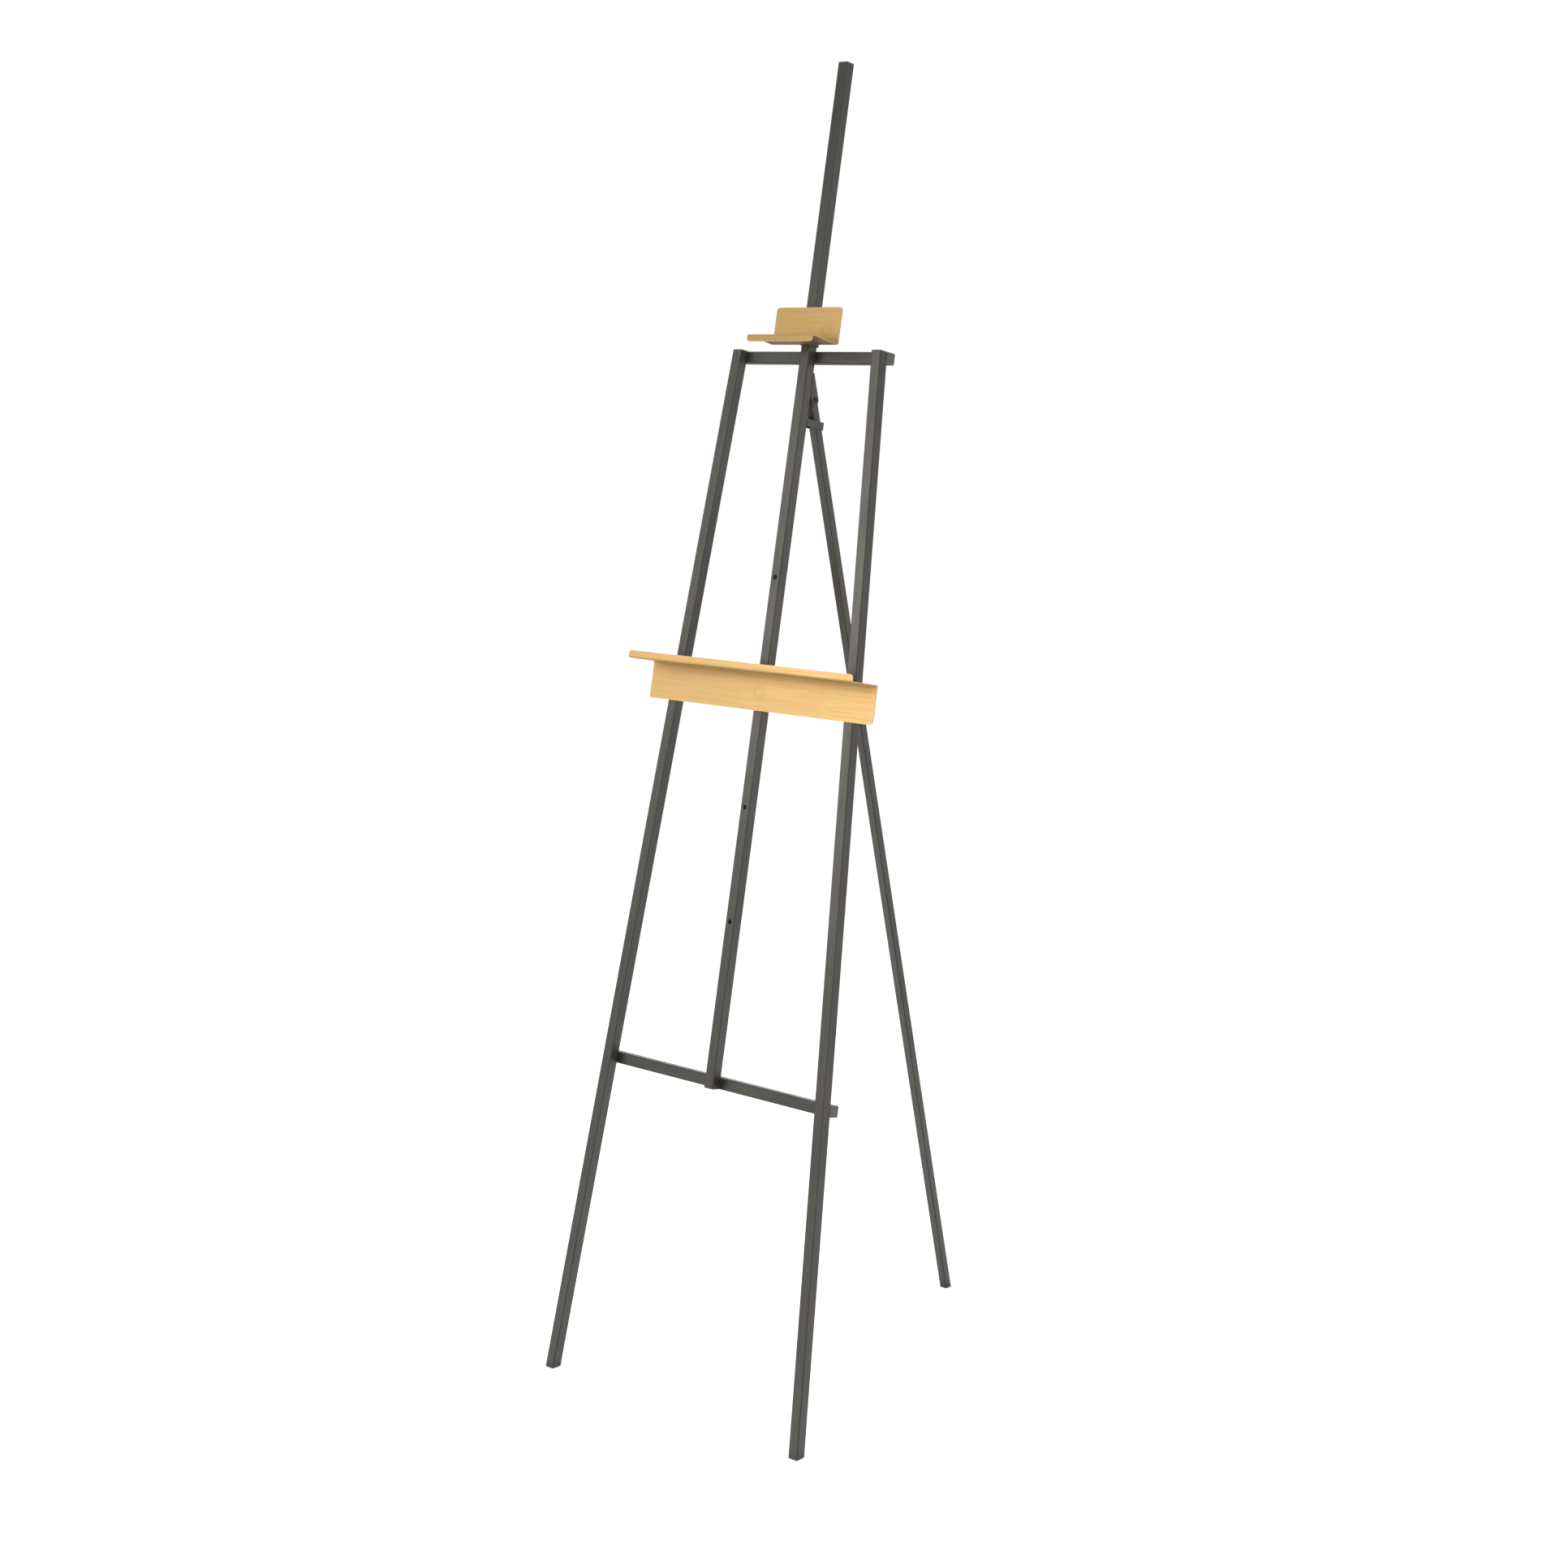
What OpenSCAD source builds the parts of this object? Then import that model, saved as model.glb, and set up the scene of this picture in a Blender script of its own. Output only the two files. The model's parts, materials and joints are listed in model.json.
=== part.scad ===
// Tripod field easel: a splayed front frame with a tall centre mast, a folding rear leg,
// a bolted lower tray and a sliding upper holder.
// +X is the viewer's right, +Y points to the rear leg, +Z is up, and the floor is z = 0.
// Frame space is tilted back with the front frame: x across, y backwards, z up the frame.

/* [Stand] */
// Height of the mast's top above the floor
overall_height = 1740; // [1600:5:1860]
// Depth from the front feet to the rear foot
foot_depth = 605; // [540:5:680]
// Backward lean of the front frame in degrees
frame_lean = 11.4; // [9:0.1:14]
// Distance between the front legs' centre lines at the floor
foot_spacing = 442; // [380:2:520]
// Distance between the front legs' centre lines at their tops
leg_top_spacing = 238; // [200:2:280]
// Length of the front legs, measured up the frame
leg_length = 1400; // [1380:5:1440]
// Height of the lower crossbar's middle, measured up the frame
lower_bar_height = 436; // [300:2:560]

/* [Tubes] */
// Width of the front legs, mast and crossbars
tube = 15; // [14:0.5:16]
// Width of the rear leg
rear_tube = 12; // [11:0.5:12]
// Wall thickness of every tube
wall = 1.2; // [1:0.1:1.5]
// Outer corner radius of every tube
tube_corner = 1.5; // [1.3:0.1:2]
// Thickness of the plastic plugs' flanges at the tube tops and crossbar ends
cap_flange = 1.5; // [1:0.1:2]
// Thickness of the plastic feet under the tubes
foot_flange = 2; // [1.5:0.1:3]

/* [Mast holes] */
// Diameter of the holes through the mast
hole_d = 6.4; // [6.2:0.1:7]
// Height of the lowest hole, measured up the frame
first_hole = 649; // [600:1:700]
// Distance from one hole to the next
hole_pitch = 151; // [120:1:160]
// Number of holes
hole_count = 4; // [4:1:5]
// Which hole holds the tray, counted from the lowest
tray_hole = 3; // [1:1:4]

/* [Trays] */
// Sheet thickness of the tray and the holder
sheet = 1.6; // [1.2:0.1:2]
// Inner radius of the sheet's bends
bend_inner = 1; // [0.5:0.1:1.5]
// Width of the lower tray
tray_width = 389; // [320:1:430]
// Drop of the lower tray's plate below its ledge
tray_plate = 49; // [44:1:60]
// Depth of the lower tray's ledge
tray_ledge = 52; // [40:1:65]
// Height of the lower tray's lip
tray_lip = 10; // [8:0.5:16]
// Width of the upper holder
holder_width = 111.5; // [90:0.5:140]
// Rise of the upper holder's plate above its ledge
holder_plate = 47.5; // [43:0.5:55]
// Depth of the upper holder's ledge
holder_ledge = 52; // [40:1:65]
// Fall of the upper holder's ledge towards its plate, in degrees
holder_slope = 3.03; // [0:0.01:5]
// Drop of the upper holder's lip
holder_lip = 9.5; // [8:0.5:14]
// Height of the holder's saddle above the leg tops
holder_rest = 5.4; // [4:0.2:200]
// Corner radius of the plates
plate_corner = 5; // [2:0.5:8]
// Corner radius of the lips
lip_corner = 4; // [2:0.5:6]

/* [Rear hinge] */
// Distance from the leg tops down to the hinge axis
pivot_drop = 62; // [56:1:70]
// Distance from the mast's front face back to the hinge axis
pivot_back = 25; // [24.5:0.5:28]
// Diameter of the hinge bolt
bolt_d = 5; // [4:0.5:5]
// Thickness of the bracket's and the strap's flat steel
flat = 1.2; // [1:0.1:1.2]
// Height of the stop strap
strap_height = 10; // [8:0.5:12]
// Distance from the hinge axis down to the strap's lower edge
strap_drop = 35.5; // [30:0.5:45]

/* [Knobs] */
// Diameter of the tray stud and the clamp screw
stud_d = 6; // [5:0.5:6]
// Diameter of the tray knob
tray_knob_d = 24; // [20:1:28]
// Diameter of the clamp knob
clamp_knob_d = 20; // [18:1:22]

/* [Hidden] */

steel = [0.34, 0.33, 0.31];
dark_plastic = [0.10, 0.10, 0.10];
brass = [0.87, 0.70, 0.47];
zinc = [0.62, 0.62, 0.62];
black_steel = [0.18, 0.18, 0.17];

LEFT = -1;
RIGHT = 1;
eps = 0.01;
far = 4000;                                     // longer than any piece, each way
round_fn = 48;
over = 1;                                       // how far a cut runs past the surface it opens

// Gaps between pieces
plug_gap = 0.05;                                // around a plug's stem, inside its tube
run_gap = 0.05;                                 // around a pin that turns in a bore
face_gap = 0.15;                                // between the mast and the sheet in front of it
slide_gap = 0.4;                                // between the mast and the saddle around it
strap_gap = 0.3;                                // between the rear leg and the stop strap
seat_gap = 0.2;                                 // under a knob or screw that turns against a face

inner = tube - 2 * wall;
inner_corner = 0.6;
rear_inner = rear_tube - 2 * wall;
plug_stem = 14;
splay = atan((foot_spacing - leg_top_spacing) / 2 / leg_length);
mast_length = overall_height / cos(frame_lean); // measured up the frame, from the floor
mast_bottom = lower_bar_height - tube / 2;
top_bar_height = leg_length - tube / 2;
bar_middle = 1.5 * tube;                        // the crossbars lie behind the legs

// Hinge axis, first in frame space and then above and behind the front feet
pivot_up = leg_length - pivot_drop;
pivot_y = pivot_up * sin(frame_lean) + pivot_back * cos(frame_lean);
pivot_z = pivot_up * cos(frame_lean) - pivot_back * sin(frame_lean);

// The rear leg's angle puts the back of its foot at foot_depth
reach = foot_depth - pivot_y;
rear_angle = acos(rear_tube / 2 / norm([reach, pivot_z])) - atan2(pivot_z, reach);
opening = frame_lean + rear_angle;
front_y = -foot_depth / 2;

// The stop strap just clears the back of the open rear leg
strap_bottom = pivot_up - strap_drop;
strap_inside = pivot_back + strap_drop * tan(opening) + rear_tube / 2 / cos(opening) + strap_gap;
strap_depth = strap_inside + flat - tube;

strap_corner = 2.4;
bead_leg = 1.5;
bead_length = 12;

// The rear leg's bracket, with its bolt, washer and nut
leg_above_pivot = 5;
ear_radius = 6.5;
bracket_bottom = pivot_up + 3;
bracket_height = 31;
bolt_head_d = 7.6;
bolt_head = 1.2;
bolt_washer = 1;
bolt_washer_d = 10;
bolt_end = 1;                                   // thread that shows beyond the nut
nut_across = 8;
nut_hex = 3.2;
nut_collar = 1.3;
nut_collar_d = 7.4;
nut_start = tube / 2 + bolt_washer;
nut_end = nut_start + nut_hex + nut_collar;

tray_hole_height = first_hole + (tray_hole - 1) * hole_pitch;
tray_height = tray_hole_height + tray_plate / 2;
holder_height = leg_length + holder_rest + sheet;
saddle_height = 40;
saddle_back = tube + slide_gap + sheet;
saddle_corner = 2.6;
clamp_rise = 24;                                // from the saddle's lower edge up to the screw
clamp_height = holder_height - sheet + clamp_rise;
boss_length = 6;
boss_d = 12;
clamp_knob_start = saddle_back + boss_length + 2;
clamp_knob_height = 12;
clamp_knob_bore = 9;
tray_washer_d = 14;
tray_washer_height = 1.2;
tray_knob_start = tube + tray_washer_height + seat_gap;
tray_knob_height = 12;
insert_length = 10;
insert_d = 9;
stud_inside_knob = insert_length - 1;

// ---------------------------------------------------------------- spaces

module frame_space() {
    translate([0, front_y, 0]) rotate([-frame_lean, 0, 0]) children();
}

// z runs up the leg's centre line from the floor
module front_leg_space(side) {
    frame_space()
        translate([side * foot_spacing / 2, tube / 2, 0]) rotate([0, -side * splay, 0]) children();
}

// z runs up the rear leg's centre line from the hinge axis
module rear_leg_space() {
    frame_space() translate([0, pivot_back, pivot_up]) rotate([opening, 0, 0]) children();
}

// z runs backwards from the mast's front face at a height up the frame
module through_mast(height) {
    frame_space() translate([0, 0, height]) rotate([-90, 0, 0]) children();
}

module floor_slab(low, high) {
    translate([-far / 2, -far / 2, low]) cube([far, far, high - low]);
}

module frame_slab(low, high) {
    frame_space() translate([-far / 2, -far / 2, low]) cube([far, far, high - low]);
}

// ---------------------------------------------------------------- sections

module rounded_square(size, r) {
    square([size - 2 * r, size], center = true);
    square([size, size - 2 * r], center = true);
    for (x = [-1, 1], y = [-1, 1])
        translate([x * (size / 2 - r), y * (size / 2 - r)]) circle(r = r, $fn = 32);
}

module outer_prism(size) {
    translate([0, 0, -far / 2]) linear_extrude(far) rounded_square(size, tube_corner);
}

module inner_prism(size) {
    translate([0, 0, -far / 2]) linear_extrude(far) rounded_square(size, inner_corner);
}

// Open at y = 0, with rounded corners at its far end
module round_ended(w, d, r) {
    translate([-w / 2, 0]) square([w, d - r]);
    translate([-w / 2 + r, 0]) square([w - 2 * r, d]);
    for (x = [-1, 1]) translate([x * (w / 2 - r), d - r]) circle(r = r, $fn = 32);
}

module u_section(w, d, t, r) {
    difference() {
        round_ended(w, d, r);
        translate([0, -over]) round_ended(w - 2 * t, d - t + over, r - t);
    }
}

// A quarter of a ring between the inner and outer bend radii, in the quadrant given by signs,
// carried on clockwise by some more degrees
module bend(x_sign, y_sign, more = 0) {
    outer = bend_inner + sheet;
    side = outer + over;
    intersection() {
        difference() {
            circle(r = outer, $fn = round_fn);
            circle(r = bend_inner, $fn = round_fn);
        }
        for (turn = more == 0 ? [0] : [0, -more])
            rotate(turn) translate([min(0, x_sign * side), min(0, y_sign * side)]) square(side);
    }
}

// Side view of a tray: x forwards from the plate's back, y up from the ledge's underside.
// The ledge falls forwards by the slope.
module tray_section(plate, ledge, lip, slope) {
    outer = bend_inner + sheet;
    translate([0, -plate]) square([sheet, plate + sheet - outer]);
    translate([outer, sheet - outer]) {
        bend(-1, 1, slope);
        rotate(-slope) translate([-outer, outer - sheet]) {
            translate([outer, 0]) square([ledge - 2 * outer, sheet]);
            translate([ledge - outer, outer]) bend(1, -1);
            translate([ledge - sheet, outer]) square([sheet, lip - outer]);
        }
    }
}

// Front view of a tray: the plate's corners below, the lip's corners above
module tray_outline(width, plate, lip) {
    side = width / 2;
    low = plate_corner - plate;
    high = lip - lip_corner;
    translate([-side, low]) square([width, high - low]);
    translate([plate_corner - side, -plate]) square([width - 2 * plate_corner, plate]);
    translate([lip_corner - side, low]) square([width - 2 * lip_corner, lip - low]);
    for (x = [-1, 1]) {
        translate([x * (side - plate_corner), low]) circle(r = plate_corner, $fn = round_fn);
        translate([x * (side - lip_corner), high]) circle(r = lip_corner, $fn = round_fn);
    }
}

// The sheet stands in front of y = 0, with the back of the ledge's underside at z = 0.
// The lip is cut off level, at a height rounded to 0.01.
module bent_sheet(width, plate, ledge, lip, slope) {
    lip_end = round(100 * (lip * cos(slope) - ledge * sin(slope))) / 100;
    intersection() {
        mirror([0, 1, 0]) rotate([90, 0, 90]) translate([0, 0, -width / 2])
            linear_extrude(width) tray_section(plate, ledge, lip, slope);
        translate([0, over, 0]) rotate([90, 0, 0])
            linear_extrude(ledge + lip) tray_outline(width, plate, lip_end);
    }
}

// ---------------------------------------------------------------- front frame

module front_leg(side) {
    color(steel) difference() {
        intersection() {
            front_leg_space(side) outer_prism(tube);
            floor_slab(foot_flange, far);
            frame_slab(0, leg_length - cap_flange);
        }
        front_leg_space(side) inner_prism(inner);
    }
}

module left_front_leg() { front_leg(LEFT); }

module right_front_leg() { front_leg(RIGHT); }

module front_foot_plug(side) {
    color(dark_plastic) {
        intersection() {
            front_leg_space(side) outer_prism(tube);
            floor_slab(0, foot_flange);
        }
        intersection() {
            front_leg_space(side) inner_prism(inner - 2 * plug_gap);
            floor_slab(foot_flange - eps, foot_flange + plug_stem);
        }
    }
}

module left_foot_plug() { front_foot_plug(LEFT); }

module right_foot_plug() { front_foot_plug(RIGHT); }

module leg_cap(side) {
    color(dark_plastic) {
        intersection() {
            front_leg_space(side) outer_prism(tube);
            frame_slab(leg_length - cap_flange, leg_length);
        }
        intersection() {
            front_leg_space(side) inner_prism(inner - 2 * plug_gap);
            frame_slab(leg_length - cap_flange - plug_stem, leg_length - cap_flange + eps);
        }
    }
}

module left_leg_cap() { leg_cap(LEFT); }

module right_leg_cap() { leg_cap(RIGHT); }

module mast() {
    low = mast_bottom + cap_flange;
    color(steel) difference() {
        frame_space() translate([0, tube / 2, low]) linear_extrude(mast_length - cap_flange - low)
            difference() {
                rounded_square(tube, tube_corner);
                rounded_square(inner, inner_corner);
            }
        for (i = [0 : hole_count - 1])
            through_mast(first_hole + i * hole_pitch)
                translate([0, 0, -over]) cylinder(d = hole_d, h = tube + 2 * over, $fn = round_fn);
    }
}

// The flange fills z from flange_low to flange_high, and the stem from stem_low to stem_high
module mast_plug(flange_low, flange_high, stem_low, stem_high) {
    color(dark_plastic) frame_space() translate([0, tube / 2, 0]) {
        translate([0, 0, flange_low]) linear_extrude(flange_high - flange_low)
            rounded_square(tube, tube_corner);
        translate([0, 0, stem_low]) linear_extrude(stem_high - stem_low)
            rounded_square(inner - 2 * plug_gap, inner_corner);
    }
}

module mast_top_cap() {
    low = mast_length - cap_flange;
    mast_plug(low, mast_length, low - plug_stem, low + eps);
}

module mast_bottom_cap() {
    high = mast_bottom + cap_flange;
    mast_plug(mast_bottom, high, high - eps, high + plug_stem);
}

function leg_centre(height) = leg_top_spacing / 2 + (leg_length - height) * tan(splay);

// Half the length of a crossbar whose ends are flush with the legs' outer faces
function bar_reach(height) = leg_centre(height) + tube / 2 / cos(splay);

module bar_space(height) {
    frame_space() translate([0, bar_middle, height]) rotate([0, 90, 0]) children();
}

module crossbar(height) {
    reach = bar_reach(height) - cap_flange;
    color(steel) bar_space(height) translate([0, 0, -reach]) linear_extrude(2 * reach)
        difference() {
            rounded_square(tube, tube_corner);
            rounded_square(inner, inner_corner);
        }
}

module top_crossbar() { crossbar(top_bar_height); }

module lower_crossbar() { crossbar(lower_bar_height); }

module bar_cap(height) {
    reach = bar_reach(height);
    bar_space(height) {
        translate([0, 0, reach - cap_flange]) linear_extrude(cap_flange)
            rounded_square(tube, tube_corner);
        translate([0, 0, reach - cap_flange - plug_stem]) linear_extrude(plug_stem + eps)
            rounded_square(inner - 2 * plug_gap, inner_corner);
    }
}

module crossbar_caps() {
    color(dark_plastic)
        for (height = [top_bar_height, lower_bar_height], flip = [0, 1])
            mirror([flip, 0, 0]) bar_cap(height);
}

// A fillet between a tube's side face and the crossbar's front face
module bead() {
    linear_extrude(bead_length) polygon([[0, 0], [bead_leg, 0], [0, -bead_leg]]);
}

module weld_beads() {
    color(steel)
        for (height = [top_bar_height, lower_bar_height], flip = [0, 1]) mirror([flip, 0, 0]) {
            frame_space() translate([tube / 2, tube, height - bead_length / 2]) bead();
            front_leg_space(LEFT)
                translate([tube / 2, tube / 2, height / cos(splay) - bead_length / 2]) bead();
        }
}

// ---------------------------------------------------------------- rear hinge

module ear_outline() {
    hull() {
        translate([pivot_back, pivot_up]) circle(r = ear_radius, $fn = 32);
        translate([tube, bracket_bottom]) square([flat, bracket_height]);
    }
}

module hinge_bracket() {
    color(steel) difference() {
        frame_space() {
            translate([-tube / 2, tube, bracket_bottom]) cube([tube, flat, bracket_height]);
            for (x = [-tube / 2, tube / 2 - flat])
                translate([x, 0, 0]) rotate([90, 0, 90]) linear_extrude(flat) ear_outline();
        }
        pivot_bore(bolt_d / 2 + run_gap);
    }
}

// A cylinder on the hinge axis, from one x to another
module on_pivot(r, low, high) {
    frame_space() translate([low, pivot_back, pivot_up]) rotate([0, 90, 0])
        cylinder(r = r, h = high - low, $fn = round_fn);
}

module pivot_bore(r) { on_pivot(r, -tube, tube); }

module hinge_bolt() {
    color(black_steel) {
        on_pivot(bolt_d / 2, -nut_end - bolt_end, tube / 2 + eps);
        on_pivot(bolt_head_d / 2, tube / 2, tube / 2 + bolt_head);
    }
}

module hinge_washer() {
    color(black_steel) difference() {
        on_pivot(bolt_washer_d / 2, -nut_start, -tube / 2);
        pivot_bore(bolt_d / 2 + run_gap);
    }
}

module hinge_nut() {
    color(black_steel) difference() {
        union() {
            frame_space() translate([-nut_start - nut_hex, pivot_back, pivot_up]) rotate([0, 90, 0])
                cylinder(d = nut_across / cos(30), h = nut_hex, $fn = 6);
            on_pivot(nut_collar_d / 2, -nut_end, -nut_start - nut_hex + eps);
        }
        pivot_bore(bolt_d / 2 + run_gap);
    }
}

module stop_strap() {
    color(steel) frame_space() translate([0, tube, strap_bottom])
        linear_extrude(strap_height) u_section(tube, strap_depth, flat, strap_corner);
}

// ---------------------------------------------------------------- rear leg

module rear_leg() {
    color(steel) difference() {
        intersection() {
            rear_leg_space() difference() {
                outer_prism(rear_tube);
                inner_prism(rear_inner);
                translate([-far / 2, -far / 2, leg_above_pivot]) cube(far);
            }
            floor_slab(foot_flange, far);
        }
        pivot_bore(bolt_d / 2 + run_gap);
    }
}

module pivot_block() {
    block_length = 16;
    color(dark_plastic) difference() {
        rear_leg_space() translate([0, 0, leg_above_pivot - block_length])
            linear_extrude(block_length) rounded_square(rear_inner - 2 * plug_gap, inner_corner);
        pivot_bore(bolt_d / 2 + run_gap);
    }
}

module rear_foot_plug() {
    color(dark_plastic) {
        intersection() {
            rear_leg_space() outer_prism(rear_tube);
            floor_slab(0, foot_flange);
        }
        intersection() {
            rear_leg_space() inner_prism(rear_inner - 2 * plug_gap);
            floor_slab(foot_flange - eps, foot_flange + plug_stem);
        }
    }
}

// ---------------------------------------------------------------- lower tray

module lower_tray() {
    color(brass) frame_space() translate([0, -face_gap, tray_height])
        bent_sheet(tray_width, tray_plate, tray_ledge, tray_lip, 0);
}

// Welded to the back of the tray's plate, it passes through the mast
module tray_stud() {
    color(zinc) through_mast(tray_hole_height) translate([0, 0, -face_gap])
        cylinder(d = stud_d, h = face_gap + tray_knob_start + stud_inside_knob, $fn = round_fn);
}

// A cylinder along z with a hole right through it
module bush(outer_d, inner_d, height) {
    difference() {
        cylinder(d = outer_d, h = height, $fn = round_fn);
        translate([0, 0, -over]) cylinder(d = inner_d, h = height + 2 * over, $fn = round_fn);
    }
}

module tray_washer() {
    color(zinc) through_mast(tray_hole_height) translate([0, 0, tube])
        bush(tray_washer_d, hole_d, tray_washer_height);
}

// A fluted knob on a narrow neck that starts at z = 0
module fluted_knob(d, h) {
    neck_d = 0.6 * d;
    neck = 3;
    chamfer = 1;
    flutes = 8;
    flute_d = d / 4;
    flute_centre = d / 2 + flute_d / 4;
    cylinder(d = neck_d, h = h, $fn = round_fn);
    difference() {
        union() {
            translate([0, 0, neck]) cylinder(d = d, h = h - neck - chamfer, $fn = round_fn);
            translate([0, 0, h - chamfer - eps])
                cylinder(d1 = d, d2 = d - 2 * chamfer, h = chamfer, $fn = round_fn);
        }
        for (i = [0 : flutes - 1])
            rotate([0, 0, i * 360 / flutes]) translate([flute_centre, 0, -over])
                cylinder(d = flute_d, h = h + 2 * over, $fn = round_fn);
    }
}

module tray_knob() {
    color(dark_plastic) through_mast(tray_hole_height) translate([0, 0, tray_knob_start])
        difference() {
            fluted_knob(tray_knob_d, tray_knob_height);
            translate([0, 0, -over])
                cylinder(d = insert_d + 2 * plug_gap, h = insert_length + over, $fn = round_fn);
        }
}

module tray_knob_insert() {
    color(brass) through_mast(tray_hole_height) translate([0, 0, tray_knob_start])
        bush(insert_d, stud_d + 2 * run_gap, insert_length);
}

// ---------------------------------------------------------------- upper holder

module upper_holder() {
    color(brass) frame_space() translate([0, -face_gap, holder_height]) mirror([0, 0, 1])
        bent_sheet(holder_width, holder_plate, holder_ledge, holder_lip, holder_slope);
}

// A channel around the mast, welded to the back of the holder's plate
module holder_saddle() {
    color(steel) difference() {
        frame_space() translate([0, -face_gap, holder_height - sheet]) linear_extrude(saddle_height)
            u_section(tube + 2 * (slide_gap + sheet), saddle_back + face_gap, sheet, saddle_corner);
        through_mast(clamp_height) translate([0, 0, tube])
            cylinder(d = stud_d + 2 * run_gap, h = tube, $fn = round_fn);
    }
}

module clamp_boss() {
    color(steel) through_mast(clamp_height) translate([0, 0, saddle_back])
        bush(boss_d, stud_d + 2 * run_gap, boss_length);
}

module clamp_screw() {
    tip = tube + seat_gap;
    color(zinc) through_mast(clamp_height) translate([0, 0, tip])
        cylinder(d = stud_d, h = clamp_knob_start + clamp_knob_bore - tip, $fn = round_fn);
}

module clamp_knob() {
    color(dark_plastic) through_mast(clamp_height) translate([0, 0, clamp_knob_start])
        difference() {
            fluted_knob(clamp_knob_d, clamp_knob_height);
            translate([0, 0, -over]) cylinder(d = stud_d, h = clamp_knob_bore + over, $fn = round_fn);
        }
}

// ---------------------------------------------------------------- pieces

left_front_leg();
right_front_leg();
mast();
top_crossbar();
lower_crossbar();
weld_beads();
left_foot_plug();
right_foot_plug();
left_leg_cap();
right_leg_cap();
mast_top_cap();
mast_bottom_cap();
crossbar_caps();
hinge_bracket();
hinge_bolt();
hinge_washer();
hinge_nut();
stop_strap();
rear_leg();
pivot_block();
rear_foot_plug();
tray_washer();
lower_tray();
tray_stud();
tray_knob();
tray_knob_insert();
upper_holder();
holder_saddle();
clamp_boss();
clamp_screw();
clamp_knob();
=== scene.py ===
"""Looks of the tripod field easel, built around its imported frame. Lengths are in metres."""

import json
import math

import bmesh
import bpy
from mathutils import Matrix, Vector


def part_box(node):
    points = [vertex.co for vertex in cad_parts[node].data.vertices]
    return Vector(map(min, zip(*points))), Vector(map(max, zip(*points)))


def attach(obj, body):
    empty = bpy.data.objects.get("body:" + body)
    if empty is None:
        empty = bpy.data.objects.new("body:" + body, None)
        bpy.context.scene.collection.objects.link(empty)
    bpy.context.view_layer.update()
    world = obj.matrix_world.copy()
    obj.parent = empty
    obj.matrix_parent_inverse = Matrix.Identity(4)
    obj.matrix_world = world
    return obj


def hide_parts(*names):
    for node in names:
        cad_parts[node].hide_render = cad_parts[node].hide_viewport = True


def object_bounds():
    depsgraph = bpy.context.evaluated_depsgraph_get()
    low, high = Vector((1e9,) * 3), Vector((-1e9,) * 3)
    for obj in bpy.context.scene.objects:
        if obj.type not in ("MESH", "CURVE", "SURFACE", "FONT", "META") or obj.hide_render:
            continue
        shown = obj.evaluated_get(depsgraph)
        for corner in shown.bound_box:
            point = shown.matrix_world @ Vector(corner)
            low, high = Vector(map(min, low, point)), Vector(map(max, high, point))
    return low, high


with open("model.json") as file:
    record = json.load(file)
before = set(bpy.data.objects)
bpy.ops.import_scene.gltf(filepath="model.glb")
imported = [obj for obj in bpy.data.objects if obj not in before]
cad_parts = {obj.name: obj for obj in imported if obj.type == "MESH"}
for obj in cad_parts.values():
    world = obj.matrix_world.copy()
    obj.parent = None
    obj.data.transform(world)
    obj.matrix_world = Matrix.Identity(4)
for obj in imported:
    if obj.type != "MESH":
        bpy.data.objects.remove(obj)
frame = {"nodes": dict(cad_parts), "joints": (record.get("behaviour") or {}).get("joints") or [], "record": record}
cad_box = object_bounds()

# ---------------------------------------------------------------- directions and places

JOINTS = {joint["name"]: joint for joint in frame["joints"]}
MOUNTS = {mount["name"]: mount for mount in frame["record"]["mounts"]}

# The front frame leans back. A place on it is across, behind its front face and up from the floor.
ACROSS = Vector((1, 0, 0))
BACK = Vector(JOINTS["tray_knob_spin"]["axis"])
UP = Vector(JOINTS["holder_slide"]["axis"])
FOOT = Vector((0, cad_box[0].y, 0))

HALF_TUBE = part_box("mast")[1].x


def place(across, back, up):
    """The point on the leaning frame that far across, back and up."""
    return FOOT + ACROSS * across + BACK * back + UP * up


def span(node, direction):
    """The lowest and highest reach of a CAD node along a direction, from the frame's foot."""
    reach = [(v.co - FOOT).dot(direction) for v in frame["nodes"][node].data.vertices]
    return min(reach), max(reach)


def middle(node):
    """The centre of a CAD node's box."""
    low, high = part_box(node)
    return (low + high) / 2


def any_side(direction):
    """Two directions square to the given one and to each other."""
    helper = ACROSS if abs(direction.dot(ACROSS)) < 0.9 else UP
    first = (helper - direction * helper.dot(direction)).normalized()
    return first, direction.cross(first)


# ---------------------------------------------------------------- camera, floor and light

CAMERA_PLACE = Vector((2.198, -2.565, 1.382))
CAMERA_TURN = 41.345
CAMERA_DIP = 9.845
CAMERA_LENS = 58.5
CAMERA_SENSOR = 36


def make_camera():
    """The main view, from the front right."""
    data = bpy.data.cameras.new("camera")
    data.lens = CAMERA_LENS
    data.sensor_width = CAMERA_SENSOR
    camera = bpy.data.objects.new("camera", data)
    camera.location = CAMERA_PLACE
    camera.rotation_euler = (math.radians(90 - CAMERA_DIP), 0, math.radians(CAMERA_TURN))
    bpy.context.scene.collection.objects.link(camera)
    bpy.context.scene.camera = camera


# How bright the studio is at each height above the horizon in degrees, as a share of its ceiling
STUDIO = ((-90, 0.85), (8, 0.85), (13, 0.36), (33, 0.36), (40, 1), (90, 1))
CEILING = 1.18

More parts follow.
